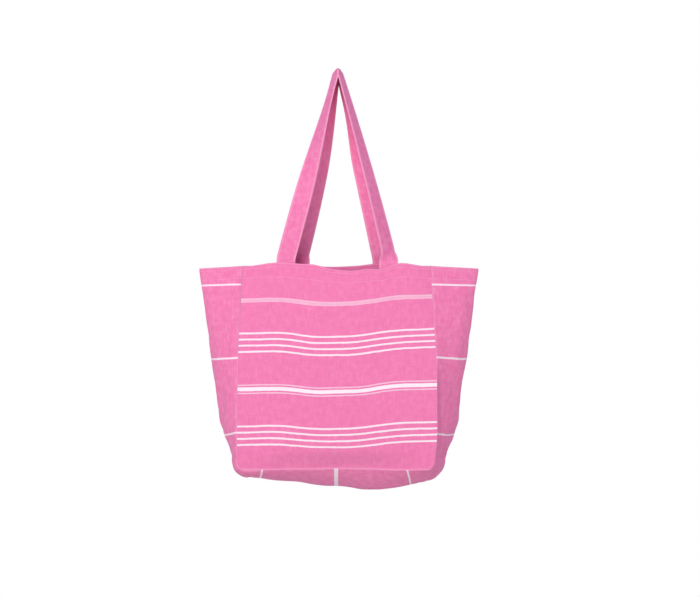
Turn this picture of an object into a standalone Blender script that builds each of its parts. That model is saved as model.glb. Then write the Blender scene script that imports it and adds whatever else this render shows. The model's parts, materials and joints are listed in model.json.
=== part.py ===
"""A soft open-topped beach bag, hanging from its two sewn handles.

Two panels and one long gusset band make the shell, which sags open towards its base and closes to a
pinched mouth. A facing stiffens the mouth, tape binds the two long seams inside, and each handle is a
loop of webbing that swings about the hem where its two ends are sewn in.

X runs across the bag, Y from its front to its back, and Z up. The origin is the underside of the
handles' crest, where a hook or a hand holds the bag. All sizes are in metres.
"""

import math

import bpy
from mathutils import Vector

# The shell, measured as it hangs
HEM_Z = -0.349              # the hem under a handle, where it is highest
HEM_DIP = 0.0115            # how far the hem falls from there to the mouth's corners and its middle
HEM_RISE_REACH = 0.045      # how wide the handles lift the hem
PANEL_HEIGHT = 0.352        # from the mouth's corners down to the base seam
MOUTH_HALF_WIDTH = 0.1707   # half the panel's width at the mouth
BASE_HALF_WIDTH = 0.1743
SIDE_BOW = 0.003            # how far the side seams bow out halfway up
CORNER_RADIUS = 0.014       # the panels' two lower corners
MOUTH_HALF_DEPTH = 0.017    # from the mid plane to a side seam, at the mouth
BASE_HALF_DEPTH = 0.079
DEPTH_POWER = 1.5           # the side seams spread quickly below the mouth and then hang straighter
MOUTH_BELLY = 0.011         # how far the middle of the hem stands in front of its ends
BASE_BELLY = -0.0115        # the base seam is drawn in where the base sags
MOUTH_BELLY_POWER = 5.0     # the hem is nearly straight between the straps
BASE_BELLY_POWER = 2.0
GUSSET_WIDTH = 0.160        # the band's cut width, which stays the same all along it

# The cloth and its small parts
CLOTH = 0.0012
SEAM_INSET = 0.001          # each cloth edge stops this far from the seam line
LAYER_GAP = 0.0003          # between layers that lie on each other
FACING = 0.0008             # the facing's thickness
FACING_HEIGHT = 0.025
FACING_INSET = 0.0015       # from the middle of the cloth to the middle of the facing
FACING_FOLD_INSET = 0.005   # the same, at the sharp fold of the gusset
BINDING = 0.002             # the binding tape's thickness
BINDING_WIDTH = 0.009
BINDING_INSET = 0.003       # from the seam line to the tape's near edge
BINDING_BASE_TURN = math.radians(45.0)    # how far the tape turns from the depth towards the middle
BINDING_MOUTH_TURN = math.radians(15.0)

# The handles
STRAP = 0.0024
STRAP_WIDTH = 0.0335
FRONT_HALF_SPAN = 0.0925    # from the middle of the bag to the middle of a front strap
BACK_HALF_SPAN = 0.0745
STRAP_END_LENGTH = 0.020    # sewn in between the panel and the facing
STRAP_POCKET_HALF = 0.018   # the facing stands off the panel over this half width at a strap
STRAP_POCKET_REACH = 0.030  # and lies on it again at this distance from the strap's middle
HEM_CLEARANCE = 0.0005      # between the sewn end and the part of the strap that swings
STRAP_START = 0.014         # the strap leaves the hem upright and has its full slope this far up
CREST_RADIUS = 0.0048       # of the strap's middle, where it turns over the hook
CREST_GAP = 0.0005          # between the two handles, where they meet over the hook
FRONT_TWIST = (0.15, 0.90)  # where the quarter turn starts and ends, from hem 0 to crest 1
BACK_TWIST = (0.45, 1.00)

MOUTH_Z = HEM_Z - HEM_DIP
BASE_Z = MOUTH_Z - PANEL_HEIGHT
STRAP_INSET = CLOTH / 2.0 + LAYER_GAP + STRAP / 2.0     # from the middle of the cloth, inwards
POCKET_INSET = STRAP_INSET + STRAP / 2.0 + LAYER_GAP + FACING / 2.0
FRONT, BACK = -1, 1

PINK = (0.86, 0.21, 0.44, 1.0)
DEEP_PINK = (0.74, 0.16, 0.36, 1.0)
PALE_PINK = (0.90, 0.45, 0.62, 1.0)


def clear_scene():
    for obj in list(bpy.context.scene.objects):
        bpy.data.objects.remove(obj, do_unlink=True)


def mix(start, end, share):
    return start + (end - start) * share


def smoothstep(share):
    share = min(max(share, 0.0), 1.0)
    return share * share * (3.0 - 2.0 * share)


def spread(start, end, steps):
    """Evenly spaced values from start to end, both included."""
    return [mix(start, end, i / steps) for i in range(steps + 1)]


def fabric(name, colour, roughness):
    material = bpy.data.materials.new(name)
    material.use_nodes = True
    shader = material.node_tree.nodes["Principled BSDF"]
    shader.inputs["Base Color"].default_value = colour
    shader.inputs["Roughness"].default_value = roughness
    shader.inputs["Metallic"].default_value = 0.0
    return material


# ---- the hanging shape of the shell ----

def height_share(z):
    """0 at the base seam, 1 at the mouth."""
    return min(max((z - BASE_Z) / PANEL_HEIGHT, 0.0), 1.0)


def half_width(z):
    share = height_share(z)
    return mix(BASE_HALF_WIDTH, MOUTH_HALF_WIDTH, share) + SIDE_BOW * 4.0 * share * (1.0 - share)


def half_depth(x, z):
    """From the mid plane to the panel, at one point of its outline or inside it."""
    share = height_share(z)
    seam = mix(BASE_HALF_DEPTH, MOUTH_HALF_DEPTH, share ** DEPTH_POWER)
    belly = mix(BASE_BELLY, MOUTH_BELLY, share)
    power = mix(BASE_BELLY_POWER, MOUTH_BELLY_POWER, share)
    return seam + belly * (1.0 - (abs(x) / half_width(z)) ** power)


def hem_z(x, half_span):
    """The hem's height, lifted where the two straps of a handle pull on it."""
    return MOUTH_Z + HEM_DIP * math.exp(-((abs(x) - half_span) / HEM_RISE_REACH) ** 2)


def fold_reach(depth):
    """How far the gusset's fold stands out from the seams, for its cut width at this half depth."""
    def half_length(reach):
        straight = math.hypot(depth, 2.0 * reach) / 2.0
        return straight + depth ** 2 / (4.0 * reach) * math.asinh(2.0 * reach / depth)

    low, high = 1e-5, GUSSET_WIDTH
    while high - low > 1e-6:
        middle = (low + high) / 2.0
        low, high = (middle, high) if half_length(middle) < GUSSET_WIDTH / 2.0 else (low, middle)
    return low


def seam_line(top_z):
    """Points (x, z) of a long seam with the outward direction there: down one side, along the base, up."""
    corner_z = BASE_Z + CORNER_RADIUS
    corner_x = half_width(corner_z) - CORNER_RADIUS
    side_z = spread(top_z, top_z - FACING_HEIGHT, 2) + spread(top_z - FACING_HEIGHT, corner_z, 9)[1:]
    side = [(half_width(z), z, 1.0, 0.0) for z in side_z]
    corner = []
    for angle in spread(0.0, math.pi / 2.0, 5)[1:]:
        out_x, out_z = math.cos(angle), -math.sin(angle)
        corner.append((corner_x + CORNER_RADIUS * out_x, corner_z + CORNER_RADIUS * out_z, out_x, out_z))
    base = [(x, BASE_Z, 0.0, -1.0) for x in spread(corner_x, 0.0, 6)[1:]]
    right = side + corner + base
    left = [(-x, z, -out_x, out_z) for x, z, out_x, out_z in right[:-1]]
    return left + right[::-1]


def panel_columns(half_span):
    """Shares of a panel's half width, left to right, with columns along each strap's edges."""
    right = spread(0.0, half_span - STRAP_POCKET_REACH, 2)
    right += [half_span - STRAP_POCKET_HALF, half_span, half_span + STRAP_POCKET_HALF]
    right += spread(half_span + STRAP_POCKET_REACH, MOUTH_HALF_WIDTH, 4)
    shares = [x / MOUTH_HALF_WIDTH for x in right]
    return [-share for share in reversed(shares[1:])] + shares


# ---- making solids ----

def sheet(name, rows, thickness, material, parent, ring=False):
    """A lofted sheet through rows of points, thickened evenly to both sides."""
    count = len(rows[0])
    origin = parent.matrix_world.translation
    points = [Vector(point) - origin for row in rows for point in row]
    faces = []
    for i in range(len(rows) - 1):
        for j in range(count if ring else count - 1):
            k = (j + 1) % count
            faces.append((i * count + j, i * count + k, (i + 1) * count + k, (i + 1) * count + j))
    mesh = bpy.data.meshes.new(name)
    mesh.from_pydata(points, [], faces)
    mesh.materials.append(material)
    mesh.shade_smooth()
    mesh.set_sharp_from_angle(angle=math.radians(50.0))
    obj = bpy.data.objects.new(name, mesh)
    obj.parent = parent
    solidify = obj.modifiers.new("thickness", "SOLIDIFY")
    solidify.thickness = thickness
    solidify.offset = 0.0
    solidify.use_even_offset = True
    return obj


def panel(name, side, half_span, material, parent):
    """One panel, cut with two round lower corners and hung with the hem lifted by its handle."""
    radius = CORNER_RADIUS - SEAM_INSET
    corner_z = BASE_Z + CORNER_RADIUS
    corner_x = half_width(corner_z) - CORNER_RADIUS
    rows = []
    for angle in spread(0.0, math.pi / 2.0, 4)[:-1]:
        z = corner_z - radius * math.cos(angle)
        edge = corner_x + radius * math.sin(angle)
        columns = [edge * share for share in panel_columns(half_span)]
        rows.append([(x, side * half_depth(x, z), z) for x in columns])
    for height in spread(0.0, 1.0, 9):
        edge = half_width(mix(corner_z, MOUTH_Z, height)) - SEAM_INSET
        row = []
        for share in panel_columns(half_span):
            x = edge * share
            z = mix(corner_z, hem_z(x, half_span), height)
            row.append((x, side * half_depth(x, z), z))
        rows.append(row)
    return sheet(name, rows, CLOTH, material, parent)


def gusset_band(material, parent):
    """The band that runs down one side, under the base and up the other side."""
    rows = []
    for x, z, out_x, out_z in seam_line(MOUTH_Z):
        depth = half_depth(x, z)
        reach = fold_reach(depth)
        edge_slope = math.hypot(depth, 2.0 * reach)
        last = 1.0 - SEAM_INSET / edge_slope
        row = []
        for across in spread(-last, last, 12):
            out = reach * (1.0 - across ** 2)
            row.append((x + out_x * out, depth * across, z + out_z * out))
        rows.append(row)
    return sheet("gusset_band", rows, CLOTH, material, parent)


def mouth_ring(drop):
    """The facing's line, a given distance under the hem, once round the mouth."""
    def panel_side(side, half_span):
        line = []
        for share in panel_columns(half_span):
            x = (MOUTH_HALF_WIDTH - SEAM_INSET) * share
            z = hem_z(x, half_span) - drop
            at_strap = abs(abs(x) - half_span) < (STRAP_POCKET_HALF + STRAP_POCKET_REACH) / 2.0
            inset = POCKET_INSET if at_strap else FACING_INSET
            line.append((x, side * (half_depth(x, z) - inset), z))
        return line

    z = MOUTH_Z - drop
    depth = half_depth(MOUTH_HALF_WIDTH, z)
    reach = fold_reach(depth) - FACING_FOLD_INSET
    fold = []
    for across in spread(-1.0, 1.0, 12):
        out = reach * (1.0 - across ** 2)
        fold.append((half_width(z) + out, (depth - FACING_INSET) * across, z))
    other_fold = [(-x, y, z) for x, y, z in reversed(fold)]
    return panel_side(FRONT, FRONT_HALF_SPAN) + fold + panel_side(BACK, BACK_HALF_SPAN)[::-1] + other_fold


def mouth_facing(material, parent):
    rows = [mouth_ring(drop) for drop in spread(FACING_HEIGHT, 0.0, 2)]
    return sheet("mouth_facing", rows, FACING, material, parent, ring=True)


def seam_binding(name, side, material, parent):
    """Tape that wraps the raw edges of a long seam, inside the bag and below the facing."""
    rows = []
    for x, z, out_x, out_z in seam_line(MOUTH_Z - FACING_HEIGHT - BINDING):
        turn = mix(BINDING_BASE_TURN, BINDING_MOUTH_TURN, height_share(z))
        inward = Vector((-out_x * math.sin(turn), -side * math.cos(turn), -out_z * math.sin(turn)))
        seam = Vector((x, side * half_depth(x, z), z))
        rows.append([seam + inward * BINDING_INSET, seam + inward * (BINDING_INSET + BINDING_WIDTH)])
    return sheet(name, rows, BINDING, material, parent)


def strap_depth(side, half_span):
    """Where a handle's straps cross the hem: Y of their middle."""
    return side * (half_depth(half_span, HEM_Z) - STRAP_INSET)


def strap_end(name, side, x_middle, material, parent):
    """The sewn end of one strap, between the panel and the facing."""
    rows = []
    for drop in spread(STRAP_END_LENGTH, 0.0, 2):
        z = HEM_Z - HEM_DIP / 4.0 - drop
        row = []
        for x in spread(x_middle - STRAP_WIDTH / 2.0, x_middle + STRAP_WIDTH / 2.0, 3):
            row.append((x, side * (half_depth(x, z) - STRAP_INSET), z))
        rows.append(row)
    return sheet(name, rows, STRAP, material, parent)


def handle_line(half_span):
    """One leg of a handle and half its crest: (x, z, upward direction, share of the height)."""
    crest_z = STRAP / 2.0 - CREST_RADIUS
    start_z = HEM_Z + HEM_CLEARANCE
    bend_z = start_z + STRAP_START / 2.0
    run, rise = half_span, crest_z - bend_z
    slope = math.atan2(run, rise) - math.asin(CREST_RADIUS / math.hypot(run, rise))
    top_x = CREST_RADIUS * math.cos(slope)
    top_z = crest_z + CREST_RADIUS * math.sin(slope)
    line = []
    for z in spread(start_z, top_z, 18):
        up = min((z - start_z) / STRAP_START, 1.0)
        past = max(z - start_z - STRAP_START, 0.0)
        x = half_span - math.tan(slope) * (STRAP_START * (up ** 3 - up ** 4 / 2.0) + past)
        lean = math.atan(math.tan(slope) * smoothstep(up))
        line.append((x, z, lean, (z - start_z) / (top_z - start_z)))
    for angle in spread(slope, math.pi / 2.0, 4)[1:]:
        line.append((CREST_RADIUS * math.cos(angle), crest_z + CREST_RADIUS * math.sin(angle), angle, 1.0))
    return line


def handle(name, side, half_span, twist, material, parent):
    """A strap loop: upright and flat to the panel at the hem, turned edge-on to lie over a hook."""
    hem_y = strap_depth(side, half_span)
    crest_y = side * (STRAP_WIDTH + CREST_GAP) / 2.0
    twist_start, twist_end = twist
    right = []
    for x, z, lean, share in handle_line(half_span):
        turn = math.pi / 2.0 * smoothstep((share - twist_start) / (twist_end - twist_start))
        middle = Vector((x, mix(hem_y, crest_y, smoothstep(share)), z))
        flat = math.cos(turn)
        across = Vector((math.cos(lean) * flat, -side * math.sin(turn), math.sin(lean) * flat))
        right.append([middle + across * (STRAP_WIDTH * offset) for offset in (-0.5, -0.17, 0.17, 0.5)])
    left = [[Vector((-point.x, point.y, point.z)) for point in row] for row in right[:-1]]
    return sheet(name, left + right[::-1], STRAP, material, parent)


def build():
    clear_scene()
    parts = bpy.data.collections.new("beach_bag")
    bpy.context.scene.collection.children.link(parts)

    def joint_frame(name, location):
        empty = bpy.data.objects.new(name, None)
        empty.location = location
        empty.empty_display_size = 0.03
        parts.objects.link(empty)
        return empty

    front_hem_y = -half_depth(FRONT_HALF_SPAN, HEM_Z) - CLOTH / 2.0
    back_hem_y = half_depth(BACK_HALF_SPAN, HEM_Z) + CLOTH / 2.0
    bag = joint_frame("bag_frame", (0.0, 0.0, 0.0))
    front_hinge = joint_frame("front_handle_hinge", (0.0, front_hem_y, HEM_Z))
    back_hinge = joint_frame("back_handle_hinge", (0.0, back_hem_y, HEM_Z))
    bpy.context.view_layer.update()

    cloth = fabric("woven_cloth", PINK, 0.85)
    lining_side = fabric("facing_cloth", DEEP_PINK, 0.90)
    tape = fabric("binding_tape", PALE_PINK, 0.80)
    webbing = fabric("strap_cloth", PINK, 0.80)

    pieces = [
        panel("front_panel", FRONT, FRONT_HALF_SPAN, cloth, bag),
        panel("back_panel", BACK, BACK_HALF_SPAN, cloth, bag),
        gusset_band(cloth, bag),
        mouth_facing(lining_side, bag),
        seam_binding("front_seam_binding", FRONT, tape, bag),
        seam_binding("back_seam_binding", BACK, tape, bag),
        handle("front_handle", FRONT, FRONT_HALF_SPAN, FRONT_TWIST, webbing, front_hinge),
        handle("back_handle", BACK, BACK_HALF_SPAN, BACK_TWIST, webbing, back_hinge),
    ]
    for handle_name, side, half_span in (("front_handle", FRONT, FRONT_HALF_SPAN),
                                         ("back_handle", BACK, BACK_HALF_SPAN)):
        for end_name, x_middle in (("left_end", -half_span), ("right_end", half_span)):
            pieces.append(strap_end(f"{handle_name}_{end_name}", side, x_middle, webbing, bag))
    for piece in pieces:
        parts.objects.link(piece)


build()
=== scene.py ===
"""The looks of a soft beach bag that hangs from its two sewn handles.

The shell is worked out as cloth: every surface has its own cut, in metres of cloth, and the weave, the
white stripes and the stitch rows follow that cut. All pieces then go through one and the same slight
crumpling of space, so they stay together at the seams.
"""

import json
import math

import bpy
import numpy as np
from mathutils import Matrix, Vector, noise


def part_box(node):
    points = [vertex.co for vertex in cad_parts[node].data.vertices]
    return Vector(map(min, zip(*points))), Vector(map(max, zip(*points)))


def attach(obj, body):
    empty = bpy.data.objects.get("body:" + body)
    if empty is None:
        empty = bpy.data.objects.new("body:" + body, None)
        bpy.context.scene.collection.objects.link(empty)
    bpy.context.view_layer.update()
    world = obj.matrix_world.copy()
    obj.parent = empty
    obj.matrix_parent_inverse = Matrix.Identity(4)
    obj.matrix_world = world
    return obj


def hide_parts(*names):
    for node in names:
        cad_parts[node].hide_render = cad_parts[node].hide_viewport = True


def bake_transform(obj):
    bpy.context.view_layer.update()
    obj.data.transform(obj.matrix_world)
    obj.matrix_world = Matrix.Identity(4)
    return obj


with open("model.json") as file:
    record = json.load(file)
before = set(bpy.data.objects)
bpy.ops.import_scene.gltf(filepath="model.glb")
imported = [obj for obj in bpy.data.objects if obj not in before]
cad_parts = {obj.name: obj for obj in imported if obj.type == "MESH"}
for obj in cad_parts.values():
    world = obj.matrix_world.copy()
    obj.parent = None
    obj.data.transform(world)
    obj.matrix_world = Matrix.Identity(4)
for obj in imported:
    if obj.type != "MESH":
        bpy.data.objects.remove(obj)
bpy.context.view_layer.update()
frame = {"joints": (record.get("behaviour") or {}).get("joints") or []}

joints = {joint["name"]: joint for joint in frame["joints"]}

# The hanging shape, as in the CAD model: X across, Y front to back, Z up, in metres
FRONT, BACK = -1, 1
HEM_Z = joints["front_handle_swing"]["pos_m"][2]
SEAM_INSET = 0.001          # the seam lies this far under the CAD panel's foot
BASE_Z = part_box("front_panel")[0].z - SEAM_INSET
PANEL_HEIGHT = 0.352
MOUTH_Z = BASE_Z + PANEL_HEIGHT
MOUTH_HALF_WIDTH = 0.1707
BASE_HALF_WIDTH = 0.1743
SIDE_BOW = 0.003            # how far the panel's sides curve outward half way up
CORNER_RADIUS = 0.014
MOUTH_HALF_DEPTH = 0.017
BASE_HALF_DEPTH = 0.079
DEPTH_POWER = 1.5
MOUTH_BELLY = 0.011
BASE_BELLY = -0.0115
MOUTH_BELLY_POWER = 5.0
BASE_BELLY_POWER = 2.0
GUSSET_WIDTH = 0.160

# How the hem and the cloth under it hang from the straps
SIDE_HEM_Z = -0.3527        # the level that the woven rows keep at the sides of a panel
SAG_REACH = 0.075           # half the width of the sag between the straps
HEM_SAG = {FRONT: 0.0085, BACK: 0.0035}
STRAP_LIFT = 0.0050
STRAP_LIFT_REACH = 0.038
CORNER_DROP = {FRONT: 0.0033, BACK: 0.0012}     # the hem's ends hang a little below that level
CORNER_DROP_FROM = 0.12     # how far from the middle that begins, and over what width
CORNER_DROP_RUN = 0.05
HEM_WAVES = {               # slack in the hem between the straps: x, reach, height
    FRONT: ((-0.043, 0.024, 0.0062), (0.030, 0.030, -0.0030), (0.080, 0.021, -0.0095)),
    BACK: ((0.015, 0.030, 0.0012),),
}
HEM_FADE = 0.025            # how far below the hem the lift and the drop last
SAG_END = 0.305             # below this the sag is taken up by the turn towards the base
TUCK = 0.009                # how far the base seam is drawn in at its middle
TUCK_FROM = 0.90            # where that begins, as a share of the way down, and over what share
TUCK_RUN = 0.10
BULGE = 0.0085              # how far the panel stands out above that
BULGE_FROM = 0.50
BULGE_RUN = 0.32
BULGE_END_RUN = 0.12
BULGE_REACH = 0.13          # half the width of the bulge and the tuck
FOLD_DROOP = 0.0042         # the gusset's fold hangs lower than its seams
DROOP_FROM = 0.02           # that begins this far above the corner, and grows over this height
DROOP_RUN = 0.05

# The cloth and its small parts
CLOTH = 0.0011              # its thickness
GRID = 0.003                # the spacing of the points
CORNER_STEPS = 10
ALLOWANCE = 0.0085          # the seam's edges, turned in
ALLOWANCE_GAP = 0.00050     # half the distance between their middles
SEAM_EDGE = 0.0001          # from the seam to where each cloth turns in
ALLOWANCE_AT_HEM = 0.0016   # they are this short behind the facing
ALLOWANCE_FROM = 0.026      # and grow below it, over a short run
ALLOWANCE_RUN = 0.012
ALLOWANCE_TURN = 0.0005     # the bend between the seam and the turned-in edge
ALLOWANCE_STEP = 0.003      # the cut cloth between two lines of points of a turned-in edge
SEAM_LEANS = (45.0, 15.0)   # how the edges lean from the seam into the bag, at the base and the mouth
HEM_ROWS = (0.006, 0.023)   # stitch rows under the hem's edge
HEM_PUFF = 0.0011
HEM_EDGE_SHARE = 0.6        # how proud the hem is above its first row, as a share of that
HEM_GRID = (0.0, 0.0008, 0.002, 0.004, 0.006, 0.008, 0.011, 0.0145, 0.018, 0.021, 0.023, 0.025, 0.0275)
FACING_HEIGHT = 0.025
FACING = 0.0008
FACING_DROPS = (0.0012, 0.003, 0.006, 0.010, 0.0145, 0.019, 0.023, FACING_HEIGHT)
FACING_INSET = 0.0014       # from the middle of the outer cloth to the middle of the facing
STRAP_POCKET = 0.0040       # the same where a strap's end lies between them
STRAP_POCKET_REACH = 0.018
STRAP_POCKET_RUN = 0.012
TAPE = 0.0005
TAPE_HALF_WIDTH = 0.009
TAPE_EASE = 0.0004          # the air between the tape and the edges that it covers
TAPE_OVERHANG = 0.0007
TAPE_SECTION = (            # shares across the edges and along them
    (1.0, 0.30), (1.0, 0.65), (1.0, 0.95), (0.72, 1.07), (0.0, 1.12),
    (-0.72, 1.07), (-1.0, 0.95), (-1.0, 0.65), (-1.0, 0.30),
)
STRIP_LENGTH = 1.109        # the gusset's cut length
BASE_EASE = 0.977           # the base takes this much of the strip's length, the rest is gathered
BASE_SHIFT = 0.0045         # the strip's middle lies this far left of the base's middle

# The folds and waves of the cloth
CREASE_TOP = 0.0020         # the height of the gusset's creases near the mouth, near the base, under it
CREASE_LOW = 0.0042
CREASE_BASE = 0.0012
CREASE_WAVES = (            # length along the strip, length across it, place in the noise, strength
    (0.060, 0.017, 3.7, 1.0),
    (0.026, 0.008, 8.1, 0.5),
)
GATHERS = (0.0008, 0.0013)  # the height of the ripples at the left and the right bottom corner
GATHER_PITCHES = (0.0125, 0.0195)
GATHER_REACH = 0.030
GATHER_SLANT = 0.010
PUFFS = (                   # where the gusset stands out more or less: x, z, reach, metres
    (-0.172, -0.713, 0.013, 0.0050),
    (-0.176, -0.637, 0.026, 0.0045),
    (-0.173, -0.460, 0.055, -0.0042),
    (-0.140, -0.7125, 0.030, -0.0040),
    (-0.068, -0.7125, 0.066, -0.0165),
    (0.010, -0.7125, 0.030, -0.0055),
    (0.055, -0.7125, 0.050, -0.0030),
    (0.174, -0.709, 0.023, 0.0050),
    (0.176, -0.650, 0.050, 0.0105),
    (-0.171, -0.355, 0.020, 0.0018),
    (0.171, -0.355, 0.032, 0.0050),
)
PINCHES = (                 # where its section is pointed (above 0) or full: x, z, reach, power
    (-0.176, -0.630, 0.070, -0.15),
    (-0.158, -0.710, 0.034, -0.50),
    (0.140, -0.712, 0.026, -0.30),
    (0.178, -0.620, 0.090, 1.30),
)
FOLD_SLIPS = (              # how far the cloth has slipped at the fold: place along the strip, slip
    (0.0, 0.0), (0.0345, -0.0025), (0.1645, 0.0), (0.2945, 0.0075),
    (0.3500, 0.0), (0.4245, -0.0080), (STRIP_LENGTH / 2.0, 0.0),
)
PUSHES = (                  # where the whole shell is pushed sideways: x, z, reach, metres
    (0.178, -0.710, 0.032, -0.0060),
    (0.168, -0.365, 0.050, -0.0040),
    (0.168, -0.445, 0.055, -0.0040),
)
CRUMPLES = (                # wavelength, height
    (0.130, 0.0034),
    (0.048, 0.0013),
    (0.021, 0.0005),
)
CRUMPLE_AXES = (0.6, 1.0, 0.6)
CRUMPLE_FROM = 0.012        # the waves start this far below the mouth, and grow over this height
CRUMPLE_RUN = 0.070
CRUMPLE_SEED = 2            # without it the waves would differ from run to run

# The handles
STRAP = 0.0024
STRAP_WIDTH = 0.0335
HALF_SPAN = {FRONT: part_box("front_handle_right_end")[1].x - STRAP_WIDTH / 2.0,
             BACK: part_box("back_handle_right_end")[1].x - STRAP_WIDTH / 2.0}
STRAP_INSET = 0.0021        # from the panel's middle to the strap's, where it is sewn in
STRAP_END_LENGTH = 0.020
STRAP_START = 0.014         # above the hem a strap goes from upright to its slope over this height
CREST_RADIUS = 0.0048
CREST_FOLD = 0.0022         # the cloth folds tighter than that over what holds it
CREST_SINK = 0.0010
CREST_TURN = 82.0           # the turn of a strap there, in degrees: its outer edge hangs lower
CREST_TURN_RUN = 0.025      # the share of a leg over which it comes to that turn
CREST_STEPS = 9
CREST_GAP = 0.0005          # between the two straps at the crest
LEG_TURNS = {               # a leg's turn: degrees, from where and over what share, more degrees all along
    (FRONT, -1): (70.0, 0.12, 0.80, 0.0),
    (FRONT, 1): (42.0, 0.0, 0.06, 32.0),
    (BACK, -1): (42.0, 0.0, 0.06, 32.0),
    (BACK, 1): (74.0, 0.36, 0.50, 0.0),
}
LEG_DRIFTS = {              # to the right at the hem, from where and over what share that ends, and a bow
    (FRONT, -1): (0.0, 0.0, 1.0, 0.0),
    (FRONT, 1): (-0.0022, 0.0, 0.08, 0.012),
    (BACK, -1): (0.006, 0.45, 0.55, 0.024),
    (BACK, 1): (0.0048, 0.42, 0.28, 0.0),
}
SLACK = 0.0030              # the back handle's right leg sags aside most at this share of its length
SLACK_PLACE = 0.66
SLACK_REACH = 0.13
STRAP_STEP = 0.003
STRAP_STITCH_INSET = 0.003

STITCH_PITCH = 0.0036
STITCH_LENGTH = 0.0028
STITCH_RADIUS = 0.00028
STITCH_SINK = 0.2           # a stitch's middle lies this share of its radius above the cloth
STITCH_SEAT = 0.74          # the same in a strap's groove, as a share of half the strap's thickness
STITCH_SIDES = 6
STITCH_PROFILE = (          # shares of the length, of the radius, and of the radius above the middle
    (-0.5, 0.30, -0.9), (-0.36, 0.85, -0.1), (0.0, 1.0, 0.25), (0.36, 0.85, -0.1), (0.5, 0.30, -0.9),
)
SEWN_POINTS = 9             # the points at each end of a strap's path that carry no edge stitching


def mix(start, end, share):
    return start + (end - start) * share


def smoothstep(share):
    share = np.clip(share, 0.0, 1.0)
    return share * share * (3.0 - 2.0 * share)


# ---- the shape of the shell ----

def height_share(z):
    """0 at the base seam, 1 at the mouth."""
    return np.clip((z - BASE_Z) / PANEL_HEIGHT, 0.0, 1.0)


def half_width(z):
    share = height_share(z)
    return mix(BASE_HALF_WIDTH, MOUTH_HALF_WIDTH, share) + SIDE_BOW * 4.0 * share * (1.0 - share)


def half_depth(x, z):
    """From the mid plane to the panel."""
    share = height_share(z)
    seam = mix(BASE_HALF_DEPTH, MOUTH_HALF_DEPTH, share ** DEPTH_POWER)
    belly = mix(BASE_BELLY, MOUTH_BELLY, share)
    power = mix(BASE_BELLY_POWER, MOUTH_BELLY_POWER, share)
    middle = np.clip(1.0 - (np.abs(x) / half_width(z)) ** power, 0.0, 1.0)
    low = 1.0 - share
    bulge = BULGE * smoothstep((low - BULGE_FROM) / BULGE_RUN) * smoothstep((1.0 - low) / BULGE_END_RUN)
    tuck = TUCK * smoothstep((low - TUCK_FROM) / TUCK_RUN)
    return seam + belly * middle + (bulge - tuck) * np.exp(-(np.abs(x) / BULGE_REACH) ** 4)


def hem_offset(x, side):
    """How the hem differs in height from the straight row at its sides."""
    lift = STRAP_LIFT * np.exp(-((np.abs(x) - HALF_SPAN[side]) / STRAP_LIFT_REACH) ** 2)
    for middle, reach, height in HEM_WAVES[side]:
        lift = lift + height * np.exp(-((x - middle) / reach) ** 2)
    return lift - CORNER_DROP[side] * smoothstep((np.abs(x) - CORNER_DROP_FROM) / CORNER_DROP_RUN)


def row_offset(x, below_hem, side):
    """The height of a woven row at x, measured from that row at the panel's side."""
    sag = HEM_SAG[side] * np.exp(-(np.abs(x) / SAG_REACH) ** 3)
    base = SIDE_HEM_Z - BASE_Z
    fade = 1.0 - smoothstep((below_hem - SAG_END) / (base - SAG_END))
    return hem_offset(x, side) * np.exp(-below_hem / HEM_FADE) - sag * fade


def hem_puff(below_hem):
    """The doubled hem stands proud between its two stitch rows."""
    top, low = HEM_ROWS
    between = np.clip((below_hem - top) / (low - top), 0.0, 1.0)
    above = np.clip(below_hem / top, 0.0, 1.0)
    return HEM_PUFF * (np.sin(math.pi * between) + HEM_EDGE_SHARE * np.sin(math.pi * above))


def fold_reach(depth):
    """How far the gusset's fold stands out from the seams, for its cut width at this half depth.

    Its section is a parabola, whose length has no closed inverse, so the reach is found by halving.
    """
    low, high = np.full_like(depth, 1e-5), np.full_like(depth, GUSSET_WIDTH)
    for _ in range(24):
        reach = (low + high) / 2.0
        slant = np.hypot(depth, 2.0 * reach) / 2.0
        half_length = slant + depth ** 2 / (4.0 * reach) * np.arcsinh(2.0 * reach / depth)
        short = half_length < GUSSET_WIDTH / 2.0
        low, high = np.where(short, reach, low), np.where(short, high, reach)
    return low


# ---- one slight crumpling of space that every part of the shell goes through ----

noise.seed_set(CRUMPLE_SEED)


def hills(points, places):
    """The sum of soft round hills at each point, each with its x, z, reach and height."""
    amount = np.zeros(len(points))
    for x, z, reach, height in places:
        distance = np.hypot(points[:, 0] - x, points[:, 2] - z)
        amount += height * np.exp(-(distance / reach) ** 2)
    return amount


def settle(points):
    """Points of the shell, pushed and with the cloth's slight waves, which start below the hem."""
    moved = points.reshape(-1, 3).copy()
    moved[:, 0] += hills(moved.copy(), PUSHES)
    share = smoothstep((MOUTH_Z - CRUMPLE_FROM - moved[:, 2]) / CRUMPLE_RUN)
    for wavelength, height in CRUMPLES:
        waves = [noise.noise_vector(Vector(p) / wavelength) for p in moved]
        moved += np.array(waves) * (share * height)[:, None] * CRUMPLE_AXES
    return moved.reshape(points.shape)


# ---- making meshes ----

def grid_normals(points, ring=False):
    """Unit normals of a grid of points, by its rows and its columns."""
    along = np.gradient(points, axis=0)
    across = np.gradient(points, axis=1)
    if ring:
        across = (np.roll(points, -1, axis=1) - np.roll(points, 1, axis=1)) / 2.0
    normals = np.cross(across, along)
    return normals / np.maximum(np.linalg.norm(normals, axis=2), 1e-12)[..., None]


def grid_faces(rows, columns, ring=False, start=0):
    faces = []
    for i in range(rows - 1):
        for j in range(columns if ring else columns - 1):
            k = (j + 1) % columns
            a, b = start + i * columns, start + (i + 1) * columns
            faces.append((a + j, a + k, b + k, b + j))
    return faces


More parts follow.
